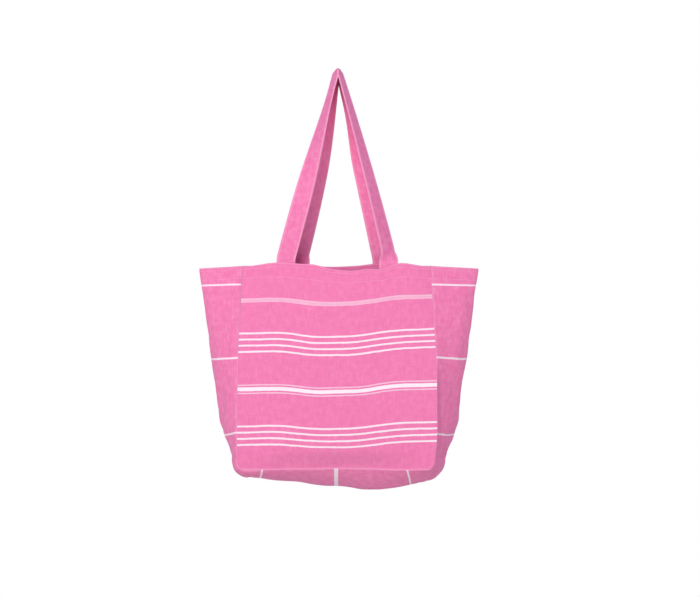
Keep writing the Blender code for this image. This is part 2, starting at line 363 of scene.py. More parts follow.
def new_piece(name, points, faces, cloth, material):
    """A mesh object; cloth holds each point's place on the cut cloth, in metres, as its UV map."""
    mesh = bpy.data.meshes.new(name)
    mesh.from_pydata([tuple(p) for p in points], [], faces)
    layer = mesh.uv_layers.new(name="cloth")
    corners = np.zeros(len(mesh.loops), dtype=np.int32)
    mesh.loops.foreach_get("vertex_index", corners)
    layer.data.foreach_set("uv", np.asarray(cloth, dtype=np.float32)[corners].ravel())
    mesh.materials.append(material)
    mesh.shade_smooth()
    obj = bpy.data.objects.new(name, mesh)
    bpy.context.scene.collection.objects.link(obj)
    return obj


def apply_modifiers(obj):
    graph = bpy.context.evaluated_depsgraph_get()
    mesh = bpy.data.meshes.new_from_object(obj.evaluated_get(graph))
    obj.modifiers.clear()
    obj.data = mesh


def thicken(obj, thickness):
    solidify = obj.modifiers.new("thickness", "SOLIDIFY")
    solidify.thickness = thickness
    solidify.offset = 0.0
    solidify.use_even_offset = False
    apply_modifiers(obj)


# ---- the rows and columns that the panels and the gusset share at their seams ----

def side_rows():
    """Distances below the hem: close together in the hem, then evenly down to the corner."""
    corner = SIDE_HEM_Z - BASE_Z - CORNER_RADIUS
    count = round((corner - HEM_GRID[-1]) / GRID)
    return np.concatenate([HEM_GRID, np.linspace(HEM_GRID[-1], corner, count + 1)[1:]])


SIDE_ROWS = side_rows()
CORNER_ANGLES = np.linspace(0.0, math.pi / 2.0, CORNER_STEPS + 1)[1:]
CORNER_Z = BASE_Z + CORNER_RADIUS
CORNER_X = float(half_width(CORNER_Z)) - CORNER_RADIUS
COLUMNS = np.linspace(-1.0, 1.0, round(2.0 * MOUTH_HALF_WIDTH / GRID) + 1)
GUSSET_COLUMNS = np.linspace(-1.0, 1.0, 49)
FOLD_COLUMNS = np.linspace(-1.0, 1.0, 33)       # the facing's, round each fold of the gusset


def panel_rows(inset):
    """Each row's distance below the hem, its level at the side and its half width less the inset."""
    side_z = SIDE_HEM_Z - SIDE_ROWS
    below = np.concatenate([SIDE_ROWS, SIDE_ROWS[-1] + CORNER_RADIUS * np.sin(CORNER_ANGLES)])
    radius = CORNER_RADIUS - inset
    level = np.concatenate([side_z, CORNER_Z - radius * np.sin(CORNER_ANGLES)])
    edge = np.concatenate([half_width(side_z) - inset, CORNER_X + radius * np.cos(CORNER_ANGLES)])
    return below, level, edge


def seam_path(side):
    """The seam of one panel: its points, outward directions and distances below the hem."""
    below, level, edge = panel_rows(0.0)
    z = level + row_offset(edge, below, side)
    side_count = len(SIDE_ROWS)
    out_x = np.concatenate([np.ones(side_count), np.cos(CORNER_ANGLES)])
    out_z = np.concatenate([np.zeros(side_count), -np.sin(CORNER_ANGLES)])
    base_x = COLUMNS[1:-1] * CORNER_X
    flat = np.ones(len(base_x))
    x = np.concatenate([-edge, base_x, edge[::-1]])
    z = np.concatenate([z, flat * BASE_Z, z[::-1]])
    out = np.stack([np.concatenate([-out_x, flat * 0.0, out_x[::-1]]), np.zeros(len(x)),
                    np.concatenate([out_z, -flat, out_z[::-1]])], axis=1)
    points = np.stack([x, side * half_depth(x, z), z], axis=1)
    return points, out, np.concatenate([below, flat * below[-1], below[::-1]])


def seam_frame(side, out, z):
    """Directions at a seam: into the bag between the two cloths, and from there towards the panel."""
    turn = np.radians(mix(*SEAM_LEANS, height_share(z)))[:, None]
    depth = np.array([0.0, side, 0.0])
    inward = -out * np.sin(turn) - depth * np.cos(turn)
    to_panel = -out * np.cos(turn) + depth * np.sin(turn)
    return inward, to_panel


def allowance_length(below_hem):
    """The turned-in edges lie flat under the facing and stand free below it."""
    return mix(ALLOWANCE_AT_HEM, ALLOWANCE, smoothstep((below_hem - ALLOWANCE_FROM) / ALLOWANCE_RUN))


def turned_edge(side, to_side):
    """Three lines of points of a turned-in edge, on the panel's side (1) or the gusset's (-1)."""
    seam, out, below = seam_path(side)
    inward, to_panel = seam_frame(side, out, seam[:, 2])
    length = allowance_length(below)[:, None]
    middle = seam + to_panel * (ALLOWANCE_GAP * to_side)
    return [middle + inward * (ALLOWANCE_TURN + length * share) for share in (0.0, 0.45, 1.0)]


# ---- the pieces of the shell ----

def panel_grid(side):
    below, level, edge = panel_rows(SEAM_EDGE)
    x = edge[:, None] * COLUMNS[None, :]
    z = level[:, None] + row_offset(x, below[:, None], side)
    y = side * (half_depth(x, z) + hem_puff(below)[:, None])
    cloth = np.stack([x, np.broadcast_to(-below[:, None], x.shape)], axis=2)
    return np.stack([x, y, z], axis=2), cloth


def make_panel(name, side, material):
    """One panel, with its turned-in edges added line by line round its sides and its foot."""
    points, cloth = panel_grid(side)
    rows, columns = points.shape[:2]
    faces = grid_faces(rows, columns)
    left = [i * columns for i in range(rows)]
    bottom = [(rows - 1) * columns + j for j in range(1, columns - 1)]
    right = [i * columns + columns - 1 for i in range(rows)][::-1]
    border = left + bottom + right
    flat_cloth = cloth.reshape(-1, 2)
    all_points, all_cloth = [points.reshape(-1, 3)], [flat_cloth]
    previous, step = border, 0.0
    _, out, _ = seam_path(side)
    for line in turned_edge(side, 1):
        start = sum(len(p) for p in all_points)
        step += ALLOWANCE_STEP
        all_points.append(line)
        all_cloth.append(flat_cloth[border] + out[:, [0, 2]] * step)
        current = list(range(start, start + len(border)))
        for j in range(len(border) - 1):
            faces.append((previous[j + 1], previous[j], current[j], current[j + 1]))
        previous = current
    if side == BACK:
        faces = [face[::-1] for face in faces]
    obj = new_piece(name, settle(np.concatenate(all_points)), faces, np.concatenate(all_cloth), material)
    thicken(obj, CLOTH)
    return obj


def strip_coordinate(x, below, out):
    """The distance along the gusset's cut strip, from its left end, at each point of the seam."""
    half = STRIP_LENGTH / 2.0
    shift = np.sign(x) * BASE_SHIFT
    on_base = half + (np.abs(x) + shift) / BASE_EASE
    on_side = STRIP_LENGTH - below
    turned = smoothstep(np.arctan2(-out[:, 2], np.abs(out[:, 0])) / (math.pi / 2.0))
    corner = mix(STRIP_LENGTH - SIDE_ROWS[-1], half + (CORNER_X + shift) / BASE_EASE, turned)
    on_corner = (out[:, 2] < -1e-6) & (np.abs(out[:, 0]) > 1e-6)
    from_middle = np.where(on_corner, corner, np.where(out[:, 2] < -0.5, on_base, on_side)) - half
    return half + np.sign(x) * from_middle


def fold_slip(strip):
    """How far the cloth at the fold has slipped towards the corner from the cloth at the seams."""
    from_end = np.minimum(strip, STRIP_LENGTH - strip)
    slip = np.interp(from_end, *zip(*FOLD_SLIPS))
    return np.where(strip < STRIP_LENGTH / 2.0, slip, -slip)


def gusset_grid(across):
    """The gusset's surface, for shares across it from the front seam (-1) to the back seam (1)."""
    front, out, below = seam_path(FRONT)
    back, _, _ = seam_path(BACK)
    depth = (back[:, 1] - front[:, 1]) / 2.0
    reach = fold_reach(depth) + hills(front, PUFFS)
    t = across[None, :, None]
    middle = (front + back)[:, None, :] / 2.0 + (back - front)[:, None, :] / 2.0 * t
    arch = (1.0 - t ** 2) ** (1.0 + hills(front, PINCHES))[:, None, None]
    side_share = smoothstep((front[:, 2] - (CORNER_Z + DROOP_FROM)) / DROOP_RUN)[:, None, None]
    droop = np.array([0.0, 0.0, -1.0]) * FOLD_DROOP * side_share
    strip = strip_coordinate(front[:, 0], below, out)
    path = np.concatenate([[0.0], np.cumsum(np.linalg.norm(np.diff(front, axis=0), axis=1))])
    points = middle + (out * reach[:, None])[:, None, :] * arch + droop * arch
    points = points + out[:, None, :] * hem_puff(below)[:, None, None] * t ** 2
    ripple = corner_gathers(front, path, across) + creases(front, strip, across)
    points = points + out[:, None, :] * ripple[:, :, None]
    slipped = strip[:, None] - fold_slip(strip)[:, None] * (1.0 - across[None, :] ** 2)
    cloth = np.stack(np.broadcast_arrays(slipped, across[None, :] * GUSSET_WIDTH / 2.0), axis=2)
    return points, cloth


def free_share(across):
    """1 over most of the gusset's width, and 0 at its seams, which hold it."""
    return 1.0 - np.abs(across) ** 8


def crease_value(along, width):
    """The creases' noise at one place on the cut strip."""
    value = 0.0
    for length, reach, place, strength in CREASE_WAVES:
        value += strength * noise.noise(Vector((along / length, width / reach, place)))
    return value


def creases(seam, strip, across):
    """Soft upright creases in the gusset, deeper towards the bottom corners."""
    height = mix(CREASE_LOW, CREASE_TOP, smoothstep((seam[:, 2] - CORNER_Z) / 0.22))
    height = height * smoothstep((SIDE_HEM_Z - seam[:, 2] - 0.020) / 0.040)
    height = mix(CREASE_BASE, height, smoothstep((seam[:, 2] - BASE_Z) / 0.020))
    widths = across * GUSSET_WIDTH / 2.0
    value = np.array([[crease_value(along, width) for width in widths] for along in strip])
    return height[:, None] * value * free_share(across)[None, :]


def corner_gathers(seam, path, across):
    """Small ripples where the strip's spare length is eased round the two lower corners."""
    ripple = np.zeros((len(path), len(across)))
    first_pitch, second_pitch = GATHER_PITCHES
    for corner_x, gather in zip((-CORNER_X, CORNER_X), GATHERS):
        nearest = np.argmin(np.hypot(seam[:, 0] - corner_x * 1.07, seam[:, 2] - CORNER_Z + 0.010))
        distance = (path - path[nearest])[:, None]
        slant = distance + GATHER_SLANT * np.sin(2.3 * across)[None, :]
        wave = np.sin(2.0 * math.pi * slant / first_pitch)
        wave = wave + 0.6 * np.sin(2.0 * math.pi * slant / second_pitch + 1.0)
        height = gather * np.exp(-(distance / GATHER_REACH) ** 2) * (0.45 + 0.55 * across[None, :] ** 2)
        ripple += height * wave * free_share(across)[None, :]
    return ripple


def make_gusset(material):
    """The gusset, whose outer columns stop just short of the seams, with its turned-in edges beside them."""
    depth = seam_path(BACK)[0][:, 1]
    points, cloth = gusset_grid(GUSSET_COLUMNS)
    first = GUSSET_COLUMNS[0] + SEAM_EDGE / np.hypot(depth, 2.0 * fold_reach(depth))
    share = ((first + 1.0) * (len(GUSSET_COLUMNS) - 1) / 2.0)[:, None, None]
    near = mix(points[:, :1], points[:, 1:2], share)
    far = mix(points[:, -1:], points[:, -2:-1], share)
    front_edge = [line[:, None, :] for line in turned_edge(FRONT, -1)]
    back_edge = [line[:, None, :] for line in turned_edge(BACK, -1)]
    points = np.concatenate([*front_edge[::-1], near, points[:, 1:-1], far, *back_edge], axis=1)
    spare = ALLOWANCE_STEP * np.arange(len(front_edge), 0, -1)
    edge = GUSSET_WIDTH / 2.0
    columns = np.concatenate([-edge - spare, cloth[0, :, 1], edge + spare[::-1]])
    strip = np.pad(cloth[:, :, 0], ((0, 0), (len(spare), len(spare))), mode="edge")
    cloth = np.stack([strip, np.broadcast_to(columns[None, :], strip.shape)], axis=2)
    rows, count = points.shape[:2]
    obj = new_piece("gusset", settle(points.reshape(-1, 3)), grid_faces(rows, count),
                    cloth.reshape(-1, 2), material)
    thicken(obj, CLOTH)
    return obj


def facing_panel_line(side, below_hem):
    """One line of the facing along a panel, which gives way where the straps' ends lie behind it."""
    x = (MOUTH_HALF_WIDTH - 0.003) * COLUMNS
    level = SIDE_HEM_Z - below_hem
    z = level + row_offset(x, below_hem, side)
    from_strap = np.minimum(*[np.abs(x - strap_middle(side, leg, 0.0)) for leg in (-1, 1)])
    pocket = 1.0 - smoothstep((from_strap - STRAP_POCKET_REACH) / STRAP_POCKET_RUN)
    inset = mix(FACING_INSET, STRAP_POCKET, pocket)
    return np.stack([x, side * (half_depth(x, z) - inset), z], axis=1)


def facing_fold_line(below_hem):
    """One line of the facing round the gusset's left fold."""
    front, _, below = seam_path(FRONT)
    back, _, _ = seam_path(BACK)
    row = int(np.argmin(np.abs(below[:len(SIDE_ROWS)] - below_hem)))
    depth = (back[row, 1] - front[row, 1]) / 2.0
    reach = float(fold_reach(np.array([depth]))[0]) - 0.004
    arch = 1.0 - FOLD_COLUMNS ** 2
    z = front[row, 2] - FOLD_DROOP * arch
    x = -front[row, 0] - 0.002 + reach * arch
    return np.stack([x, (depth - FACING_INSET) * FOLD_COLUMNS, z], axis=1)


def facing_ring(below_hem):
    """One line round the mouth on the facing, a given distance under the hem's edge."""
    fold = facing_fold_line(below_hem)
    other_fold = fold[::-1] * (-1.0, 1.0, 1.0)
    return settle(np.concatenate([facing_panel_line(FRONT, below_hem), fold,
                                  facing_panel_line(BACK, below_hem)[::-1], other_fold]))


def make_facing(material):
    drops = FACING_DROPS[::-1]
    points = np.stack([facing_ring(drop) for drop in drops])
    length = np.cumsum(np.linalg.norm(np.diff(points[0], axis=0, prepend=points[0][:1]), axis=1))
    cloth = np.stack(np.broadcast_arrays(length[None, :], -np.array(drops)[:, None]), axis=2)
    rows, columns = points.shape[:2]
    obj = new_piece("mouth_facing_band", points.reshape(-1, 3), grid_faces(rows, columns, ring=True),
                    cloth.reshape(-1, 2), material)
    thicken(obj, FACING)
    return obj


def make_tape(name, side, material):
    """Tape folded round the two turned-in edges of a long seam."""
    seam, out, below = seam_path(side)
    keep = below > FACING_HEIGHT + 0.003
    seam, out, below = seam[keep], out[keep], below[keep]
    inward, to_panel = seam_frame(side, out, seam[:, 2])
    length = allowance_length(below)[:, None] + TAPE_OVERHANG
    half = ALLOWANCE_GAP + CLOTH / 2.0 + TAPE_EASE
    lines = [seam + to_panel * (half * across) + inward * (length * reach) for across, reach in TAPE_SECTION]
    points = np.stack(lines, axis=1)
    path = np.cumsum(np.linalg.norm(np.diff(seam, axis=0, prepend=seam[:1]), axis=1))
    width = np.linspace(-TAPE_HALF_WIDTH, TAPE_HALF_WIDTH, len(TAPE_SECTION))
    cloth = np.stack(np.broadcast_arrays(path[:, None], width[None, :]), axis=2)
    rows, columns = points.shape[:2]
    obj = new_piece(name, settle(points.reshape(-1, 3)), grid_faces(rows, columns),
                    cloth.reshape(-1, 2), material)
    thicken(obj, TAPE)
    return obj


# ---- the handles ----

def strap_turn(side, leg, share):
    """The turn of one leg (left -1, right 1) about its own length, from the hem (0) to the crest (1)."""
    degrees, start, run, more = LEG_TURNS[side, leg]
    turned = degrees * smoothstep((share - start) / run) + more * share
    turned = turned + (CREST_TURN - turned) * smoothstep((share - (1.0 - CREST_TURN_RUN)) / CREST_TURN_RUN)
    return np.radians(turned)


def strap_drift(side, leg, share):
    """How far to the right of an even, straight run one leg lies."""
    at_hem, start, run, bow = LEG_DRIFTS[side, leg]
    drift = at_hem * (1.0 - smoothstep((share - start) / run)) + bow * share * (1.0 - share)
    if side == BACK and leg > 0:
        drift = drift + SLACK * np.exp(-((share - SLACK_PLACE) / SLACK_REACH) ** 2)
    return drift


def strap_middle(side, leg, share):
    return leg * HALF_SPAN[side] + strap_drift(side, leg, share)


def handle_leg(side, leg):
    """One leg from its sewn end to the top of the crest: middles and directions across the strap."""
    half_span = HALF_SPAN[side]
    crest_z = STRAP / 2.0 - CREST_RADIUS - CREST_SINK
    start_z = HEM_Z
    bend_z = start_z + STRAP_START / 2.0
    run, rise = half_span, crest_z - bend_z
    slope = math.atan2(run, rise) - math.asin(CREST_FOLD / math.hypot(run, rise))
    top_z = crest_z + CREST_FOLD * math.sin(slope)
    hem_y = float(half_depth(half_span, HEM_Z)) - STRAP_INSET

    sewn_z = np.arange(start_z - STRAP_END_LENGTH, start_z, STRAP_STEP)
    free_z = np.linspace(start_z, top_z, round((top_z - start_z) / STRAP_STEP))
    up = np.clip((free_z - start_z) / STRAP_START, 0.0, 1.0)
    past = np.clip(free_z - start_z - STRAP_START, 0.0, None)
    free_x = half_span - math.tan(slope) * (STRAP_START * (up ** 3 - up ** 4 / 2.0) + past)
    lean = np.arctan(math.tan(slope) * smoothstep(up))
    angles = np.linspace(slope, math.pi / 2.0, CREST_STEPS)[1:]

    x = np.concatenate([np.full(len(sewn_z), half_span), free_x, CREST_FOLD * np.cos(angles)])
    z = np.concatenate([sewn_z, free_z, crest_z + CREST_FOLD * np.sin(angles)])
    lean = np.concatenate([np.zeros(len(sewn_z)), lean, angles])
    share = np.clip((z - start_z) / (z[-1] - start_z), 0.0, 1.0)
    crest_y = (STRAP_WIDTH + CREST_GAP) / 2.0
    y = side * mix(hem_y, crest_y, smoothstep(share))
    sewn = z < start_z
    y[sewn] = side * (half_depth(half_span, z[sewn]) - STRAP_INSET)
    turn = strap_turn(side, leg, share)
    drift = strap_drift(side, leg, share)
    middles = np.stack([leg * x + drift, y, z], axis=1)
    across = np.stack([np.cos(lean) * np.cos(turn), -side * leg * np.sin(turn),
                       leg * np.sin(lean) * np.cos(turn)], axis=1)
    return middles, across / np.linalg.norm(across, axis=1)[:, None]


def handle_path(side):
    """The whole strap, from its left sewn end over the crest to its right one."""
    left_middles, left_across = handle_leg(side, -1)
    right_middles, right_across = handle_leg(side, 1)
    middles = np.concatenate([left_middles[:-1], right_middles[::-1]])
    across = np.concatenate([left_across[:-1], -right_across[::-1]])
    along = np.gradient(middles, axis=0)
    along /= np.linalg.norm(along, axis=1)[:, None]
    across -= along * np.sum(across * along, axis=1)[:, None]
    across /= np.linalg.norm(across, axis=1)[:, None]
    return middles, across, np.cross(across, along)


def strap_section():
    """The outline of a folded strap: soft edges, and a shallow groove along each stitch row."""
    half = STRAP_WIDTH / 2.0
    groove = half - STRAP_STITCH_INSET
    across = np.array([0.0, 0.30, 0.58, 0.74, 0.82, 0.88, 0.94]) * half
    thick = STRAP / 2.0 * (1.0 - 0.30 * np.exp(-((across - groove) / 0.0011) ** 2))
    right = list(zip(across, thick))
    right += [(half * 0.975, STRAP * 0.40), (half, STRAP * 0.16)]
    top = [(-a, t) for a, t in right[:0:-1]] + right
    return np.array(top + [(a, -t) for a, t in top[::-1]])


def make_handle(name, side, material):
    middles, across, facing = handle_path(side)
    section = strap_section()
    path = np.cumsum(np.linalg.norm(np.diff(middles, axis=0, prepend=middles[:1]), axis=1))
    points = (middles[:, None, :] + across[:, None, :] * section[None, :, :1]
              + facing[:, None, :] * section[None, :, 1:])
    rows, columns = points.shape[:2]
    faces = grid_faces(rows, columns, ring=True)
    faces.append(tuple(range(columns))[::-1])
    faces.append(tuple((rows - 1) * columns + j for j in range(columns)))
    cloth = np.stack(np.broadcast_arrays(section[None, :, 0], path[:, None]), axis=2)
    obj = new_piece(name, points.reshape(-1, 3), faces, cloth.reshape(-1, 2), material)
    mesh = obj.data
    if mesh.polygons[0].normal.dot(Vector(points[0, 0] - middles[0])) < 0.0:
        mesh.flip_normals()
    return obj


# ---- stitching ----

def resample(line, ups, pitch):
    """Stitch middles evenly along a line, with directions along it and away from the cloth."""
    length = np.concatenate([[0.0], np.cumsum(np.linalg.norm(np.diff(line, axis=0), axis=1))])
    count = max(int(length[-1] / pitch), 1)
    spots = (np.arange(count) + 0.5) * length[-1] / count
    middles = np.stack([np.interp(spots, length, line[:, i]) for i in range(3)], axis=1)
    ahead = np.stack([np.interp(spots + pitch / 2.0, length, line[:, i]) for i in range(3)], axis=1)
    behind = np.stack([np.interp(spots - pitch / 2.0, length, line[:, i]) for i in range(3)], axis=1)
    along = ahead - behind
    up = np.stack([np.interp(spots, length, ups[:, i]) for i in range(3)], axis=1)
    return middles, along / np.linalg.norm(along, axis=1)[:, None], up


def make_stitching(name, lines, material):
    """Rows of thread, each stitch a short spindle whose ends go down into the cloth."""
    around = np.linspace(0.0, 2.0 * math.pi, STITCH_SIDES + 1)[:-1]
    points, faces, cloth = [], [], []
    for line, ups in lines:
        for middle, along, up in zip(*resample(line, ups, STITCH_PITCH)):
            up = up - along * np.dot(up, along)
            up /= np.linalg.norm(up)
            beside = np.cross(along, up)
            start = len(points)
            for share, width, lift in STITCH_PROFILE:
                centre = middle + along * (share * STITCH_LENGTH) + up * (lift * STITCH_RADIUS)
                for angle in around:
                    ring = beside * math.cos(angle) + up * math.sin(angle)
                    points.append(centre + ring * (STITCH_RADIUS * width))
                    cloth.append((share * STITCH_LENGTH, angle * STITCH_RADIUS))
            last = len(points) - STITCH_SIDES
            faces += grid_faces(len(STITCH_PROFILE), STITCH_SIDES, ring=True, start=start)
            faces.append(tuple(start + j for j in range(STITCH_SIDES))[::-1])
            faces.append(tuple(last + j for j in range(STITCH_SIDES)))
    obj = new_piece(name, points, faces, cloth, material)
    first_face = obj.data.polygons[0]
    ring_middle = Vector((points[0] + points[STITCH_SIDES // 2]) * 0.5)
    if first_face.normal.dot(first_face.center - ring_middle) < 0.0:
        obj.data.flip_normals()
    return obj


def surface_row(points, row, sign):
    """A line on one row of a grid, raised to the cloth's surface, with its normals."""
    normals = grid_normals(points) * sign
    line = points[row] + normals[row] * (CLOTH / 2.0 + STITCH_RADIUS * STITCH_SINK)
    return line, normals[row]


def hem_lines():
    """The two stitch rows on the outside of the hem, on both panels and both folds of the gusset."""
    lines = []
    row_numbers = [int(np.argmin(np.abs(SIDE_ROWS - drop))) for drop in HEM_ROWS]
    count = len(SIDE_ROWS)
    gusset = settle(gusset_grid(GUSSET_COLUMNS)[0])
    for side in (FRONT, BACK):
        points = settle(panel_grid(side)[0])
        for row in row_numbers:
            lines.append(surface_row(points, row, outward_sign(points, side)))
    left, right = gusset[:count], gusset[::-1][:count]
    for points in (left, right):
        fold = len(GUSSET_COLUMNS) // 2
        middle = grid_normals(points)[row_numbers[0], fold]
        sign = 1.0 if middle[0] * points[0, fold, 0] > 0.0 else -1.0
        for row in row_numbers:
            lines.append(surface_row(points, row, sign))
    return lines


def outward_sign(points, side):
    """1 if a panel grid's normals point out of the bag, -1 if they point into it."""
    middle = grid_normals(points)[4, points.shape[1] // 2]
    return 1.0 if middle[1] * side > 0.0 else -1.0


def facing_lines():
    """The same two rows where they show inside, on the facing."""
    lines = []
    for drop in HEM_ROWS:
        ring = facing_ring(drop)
        ring = np.concatenate([ring, ring[:1]])
        along = np.gradient(ring, axis=0)
        inward = np.cross(along, (0.0, 0.0, 1.0))
        inward /= np.linalg.norm(inward, axis=1)[:, None]
        if np.dot(inward[len(COLUMNS) // 2], (0.0, 1.0, 0.0)) < 0.0:
            inward = -inward
        lines.append((ring + inward * (FACING / 2.0 + STITCH_RADIUS * STITCH_SINK), inward))
    return lines


def handle_lines(side):
    """Stitch rows along both edges of a strap, on both of its faces."""
    middles, across, facing = handle_path(side)
    free = slice(SEWN_POINTS, -SEWN_POINTS)
    groove = STRAP_WIDTH / 2.0 - STRAP_STITCH_INSET
    lines = []
    for edge in (-groove, groove):
        for face in (-1.0, 1.0):
            raised = middles + across * edge + facing * (face * STRAP / 2.0 * STITCH_SEAT)
            lines.append((raised[free], facing[free] * face))
    return lines


# ---- materials ----

class Shader:
    """A material with one Principled shader, and short ways to add and wire nodes."""

    def __init__(self, name):
        self.material = bpy.data.materials.new(name)
        self.material.use_nodes = True
        self.tree = self.material.node_tree
        self.surface = self.tree.nodes["Principled BSDF"]

    def node(self, kind, inputs=None, **settings):
        made = self.tree.nodes.new(kind)
        for key, value in settings.items():
            setattr(made, key, value)
        for key, value in (inputs or {}).items():
            self.wire(value, made.inputs[key])
        return made

    def wire(self, value, socket):
        if isinstance(value, bpy.types.NodeSocket):
            self.tree.links.new(value, socket)
        else:
            socket.default_value = value

    def math(self, operation, *values):
        return self.node("ShaderNodeMath", dict(enumerate(values)), operation=operation).outputs[0]

    def noise(self, vector, scale, detail=2.0):
        inputs = {"Vector": vector, "Scale": scale, "Detail": detail}
        return self.node("ShaderNodeTexNoise", inputs).outputs[0]

    def colour(self, factor, first, second, blend="MIX"):
        made = self.node("ShaderNodeMix", {"Factor": factor}, data_type="RGBA", blend_type=blend)
        self.wire(first, made.inputs[6])
        self.wire(second, made.inputs[7])
        return made.outputs[2]

    def between(self, value, low, high, to_low=0.0, to_high=1.0):
        inputs = {0: value, 1: low, 2: high, 3: to_low, 4: to_high}
        return self.node("ShaderNodeMapRange", inputs).outputs[0]


THREAD = 0.0009             # the pitch of the weave
PLY = 0.0006                # the pitch of the sewing thread's twist
PINK = (0.860, 0.205, 0.425, 1.0)
DEEP_PINK = (0.760, 0.150, 0.350, 1.0)
# the paler yarn of the slubs, and also the painted highlight along the cloth's edges
SLUB_AND_HIGHLIGHT_PINK = (0.900, 0.420, 0.600, 1.0)
WHITE = (0.930, 0.890, 0.910, 1.0)


def slub_noise(shader, cut, upright):
    """Uneven threads as thin streaks both ways; upright is the share of those that run along v."""
    def streaks(u_scale, v_scale):
        factors = {0: cut, 1: (u_scale, v_scale, 1.0)}
        scaled = shader.node("ShaderNodeVectorMath", factors, operation="MULTIPLY")
        return shader.noise(scaled.outputs[0], 1.0, 3.0)

    return shader.math("ADD", shader.math("MULTIPLY", streaks(620.0, 45.0), upright),
                       shader.math("MULTIPLY", streaks(50.0, 560.0), 1.0 - upright))


def pink_tone(shader, cut, weave, slubs, mottle, uneven):
    """The dyed threads, paler on the slubs and deeper in the mottled parts."""
    cloud = shader.noise(cut, 11.0, 2.0)
    crossing = shader.between(weave, -0.4, 0.4)
    tone = shader.colour(shader.math("MULTIPLY", crossing, 0.30), PINK, DEEP_PINK)
    tone = shader.colour(shader.between(slubs, 0.40, 0.62, 0.0, 0.26 * uneven), tone, SLUB_AND_HIGHLIGHT_PINK)
    tone = shader.colour(shader.between(mottle, 0.38, 0.62, 0.36 * uneven, 0.0), tone, DEEP_PINK)
    return shader.colour(shader.between(cloud, 0.3, 0.7, 0.16, 0.0), tone, DEEP_PINK)


def edge_highlight_tone(shader, tone, position, place, reach, slubs):
    """The tone with a painted highlight: a ragged lighter line at one place along an axis of the cloth,
    where an edge catches the light.
    """
    distance = shader.math("ABSOLUTE", shader.math("SUBTRACT", position, place))
    ragged = shader.math("ADD", distance, shader.between(slubs, 0.3, 0.7, -0.0005, 0.0005))
    return shader.colour(shader.between(ragged, 0.0, reach, 0.60, 0.0), tone, SLUB_AND_HIGHLIGHT_PINK)


def white_share(shader, line, other, skew, stripes, mottle):
    """How white the cloth is in its stripes, whose edges waver with the mottling."""
    line = shader.math("SUBTRACT", line, shader.math("MULTIPLY", other, skew))
    line = shader.math("ADD", line, shader.between(mottle, 0.3, 0.7, -0.00025, 0.00025))
    white = 0.0
    for place, half, strength in stripes:
        away = shader.math("ABSOLUTE", shader.math("SUBTRACT", line, place))
        band = shader.between(away, half - 0.0002, half + 0.0002, strength, 0.0)
        white = shader.math("MAXIMUM", white, band)
    return white


def soft_finish(shader, slubs, height):
    """The dull, faintly fuzzy surface of cotton, in relief by its threads."""
    bump = shader.node("ShaderNodeBump", {"Strength": 0.35, "Distance": 0.00035, "Height": height})
    shader.wire(bump.outputs[0], shader.surface.inputs["Normal"])
    shader.wire(shader.between(slubs, 0.3, 0.7, 0.80, 0.92), shader.surface.inputs["Roughness"])
    shader.surface.inputs["Specular IOR Level"].default_value = 0.2
    shader.surface.inputs["Sheen Weight"].default_value = 0.20
    shader.surface.inputs["Sheen Roughness"].default_value = 0.5
    shader.surface.inputs["Sheen Tint"].default_value = (0.84, 0.68, 1.0, 1.0)


def woven_cloth(name, stripes=(), along=1, skew=0.0, highlit_edges=(), uneven=1.0, upright=0.6):
    """Plain-woven cotton: two threads, slubs both ways, woven white stripes and a painted highlight along
    its edges.

    Stripes are (place, half width, strength) along one axis of the cut cloth, in metres; highlit edges are
    (axis, place, reach) of the painted highlight, a lighter line where an edge catches the light; uneven is
    the strength of the slubs and the mottling, and upright is the share of the slubs that run along v.
    """
    shader = Shader(name)
    cut = shader.node("ShaderNodeUVMap", uv_map="cloth").outputs[0]
    axes = shader.node("ShaderNodeSeparateXYZ", {0: cut}).outputs
    slubs = slub_noise(shader, cut, upright)
    mottle = shader.noise(cut, 95.0, 4.0)
    warp = shader.math("SINE", shader.math("MULTIPLY", axes[0], 2.0 * math.pi / THREAD))
    weft = shader.math("SINE", shader.math("MULTIPLY", axes[1], 2.0 * math.pi / THREAD))
    weave = shader.math("MULTIPLY", warp, weft)

    tone = pink_tone(shader, cut, weave, slubs, mottle, uneven)
    # painted highlights: a lighter line along each listed edge, where it catches the light
    for axis, place, reach in highlit_edges:
        tone = edge_highlight_tone(shader, tone, axes[axis], place, reach, slubs)
    height = shader.math("ADD", shader.math("MULTIPLY", weave, 0.35), shader.math("MULTIPLY", slubs, 1.4))
    if stripes:
        white = white_share(shader, axes[along], axes[1 - along], skew, stripes, mottle)
        thread_white = shader.math("MULTIPLY", white, shader.between(slubs, 0.3, 0.7, 0.90, 1.0))
        tone = shader.colour(thread_white, tone, WHITE)
        height = shader.math("ADD", height, shader.math("MULTIPLY", white, 0.5))
    shader.wire(tone, shader.surface.inputs["Base Color"])
    soft_finish(shader, slubs, height)
    return shader.material


def thread(name, tone, groove_shade):
    """Twisted sewing thread, its darker colour painted shade in the grooves between the plies."""
    shader = Shader(name)
    cut = shader.node("ShaderNodeUVMap", uv_map="cloth").outputs[0]
    parts = shader.node("ShaderNodeSeparateXYZ", {0: cut})
    slant = shader.math("ADD", parts.outputs[0], parts.outputs[1])
    ply = shader.math("SINE", shader.math("MULTIPLY", slant, 2.0 * math.pi / PLY))
    # the colour follows the twist's bump: painted shade where it is low, in the grooves
    twist = shader.colour(shader.between(ply, -1.0, 1.0), groove_shade, tone)
    shader.wire(twist, shader.surface.inputs["Base Color"])
    bump = shader.node("ShaderNodeBump", {"Strength": 0.5, "Distance": 0.00005, "Height": ply})
    shader.wire(bump.outputs[0], shader.surface.inputs["Normal"])
    shader.surface.inputs["Roughness"].default_value = 0.6
    return shader.material


